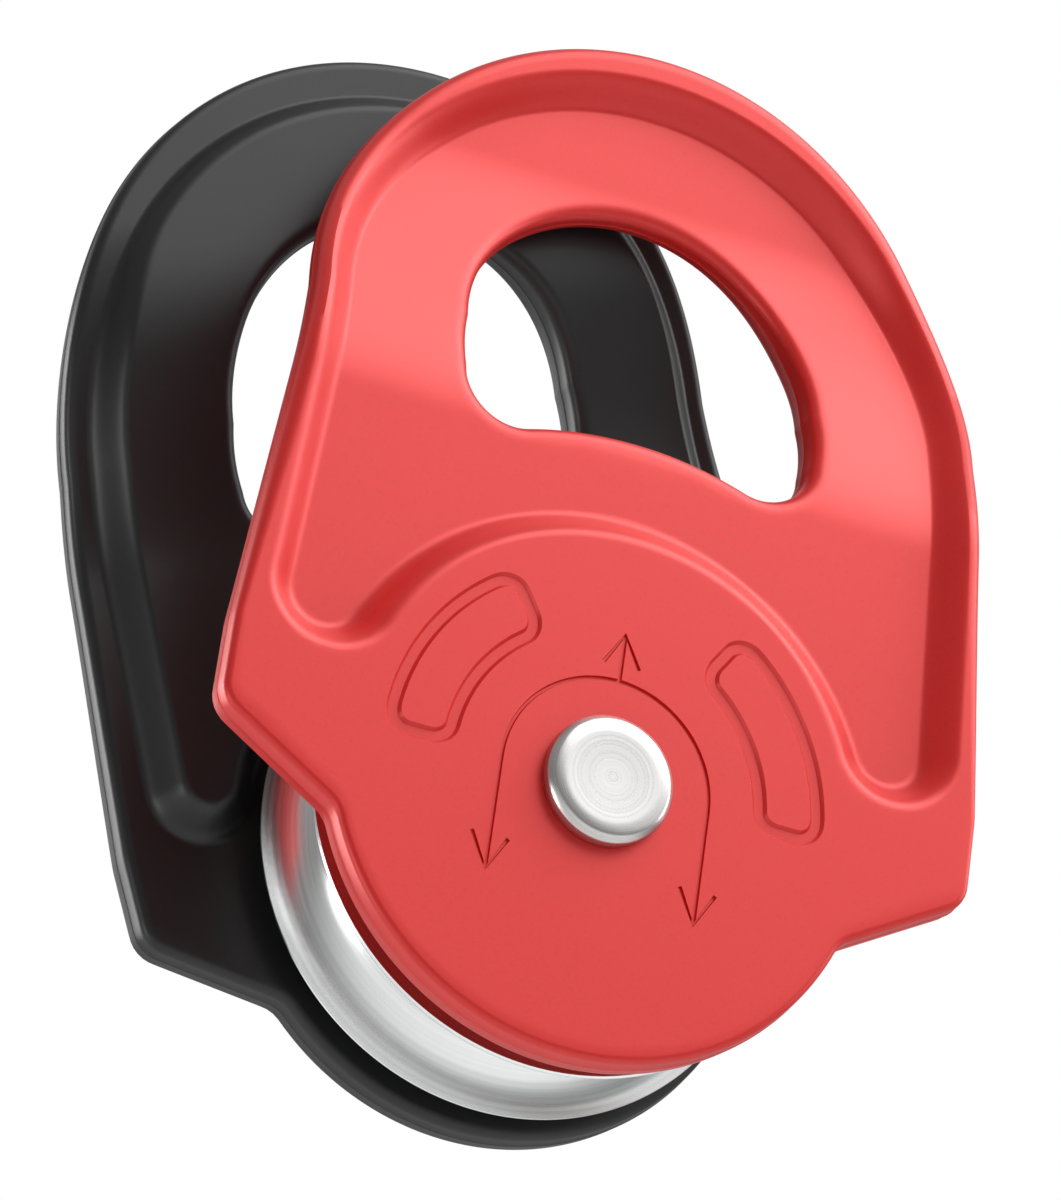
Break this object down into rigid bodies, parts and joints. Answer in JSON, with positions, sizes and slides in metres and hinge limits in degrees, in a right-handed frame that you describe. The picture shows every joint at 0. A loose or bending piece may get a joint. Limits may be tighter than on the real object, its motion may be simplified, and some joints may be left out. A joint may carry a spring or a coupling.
{
  "type": "rope pulley",
  "caption": "Swing-cheek rope pulley: grooved metal sheave on sealed ball bearings between two forged side plates, each with a large eye for a carabiner.",
  "frame": {"origin": "on the sheave's axis, at the middle of the rope groove", "axes": "+Z from the axle to the front plate's eye, +Y along the sheave's axis to the rear plate, +X to the right when the front plate is looked at"},
  "size_m": [0.0908, 0.0344, 0.1091],
  "materials": {
    "red_anodised": "satin red anodised forged aluminium, with a fine speckle",
    "black_anodised": "satin black anodised forged aluminium",
    "turned_aluminium": "turned aluminium, with fine rings about the axle",
    "turned_steel": "turned stainless steel",
    "ground_steel": "ground bearing steel",
    "cage_brass": "pressed ball cage",
    "seal_rubber": "matt black rubber",
    "bearing_plastic": "plain bearing plastic"
  },
  "bodies": {
    "front_plate": {"front_side_plate": "red_anodised", "front_thrust_washer": "bearing_plastic"},
    "axle": {"axle_pin": "turned_steel", "rear_axle_head": "turned_steel", "front_axle_spacer": "turned_steel", "rear_axle_spacer": "turned_steel", "inner_ring_spacer": "turned_steel", "front_bearing_inner_ring": "ground_steel", "rear_bearing_inner_ring": "ground_steel"},
    "rear_plate": {"rear_side_plate": "black_anodised", "rear_thrust_washer": "bearing_plastic"},
    "sheave": {"sheave": "turned_aluminium", "front_bearing_outer_ring": "ground_steel", "front_bearing_outboard_seal": "seal_rubber", "front_bearing_inboard_seal": "seal_rubber", "rear_bearing_outer_ring": "ground_steel", "rear_bearing_outboard_seal": "seal_rubber", "rear_bearing_inboard_seal": "seal_rubber"},
    "front_ball_set": {"front_bearing_cage": "cage_brass", "front_bearing_balls": "ground_steel"},
    "rear_ball_set": {"rear_bearing_cage": "cage_brass", "rear_bearing_balls": "ground_steel"}
  },
  "joints": [
    {"name": "axle_turn", "type": "hinge", "parent": "front_plate", "child": "axle", "pos_m": [0, 0, 0], "axis": [0, 1, 0], "continuous": true},
    {"name": "rear_plate_swing", "type": "hinge", "parent": "axle", "child": "rear_plate", "pos_m": [0, 0, 0], "axis": [0, 1, 0], "continuous": true},
    {"name": "sheave_spin", "type": "hinge", "parent": "axle", "child": "sheave", "pos_m": [0, 0, 0], "axis": [0, 1, 0], "continuous": true},
    {"name": "front_ball_set_roll", "type": "hinge", "parent": "axle", "child": "front_ball_set", "pos_m": [0, 0, 0], "axis": [0, 1, 0], "continuous": true},
    {"name": "rear_ball_set_roll", "type": "hinge", "parent": "axle", "child": "rear_ball_set", "pos_m": [0, 0, 0], "axis": [0, 1, 0], "continuous": true}
  ],
  "couplings": [
    {"joint": "front_ball_set_roll", "follows": "sheave_spin", "ratio": 0.6323},
    {"joint": "rear_ball_set_roll", "follows": "sheave_spin", "ratio": 0.6323}
  ]
}
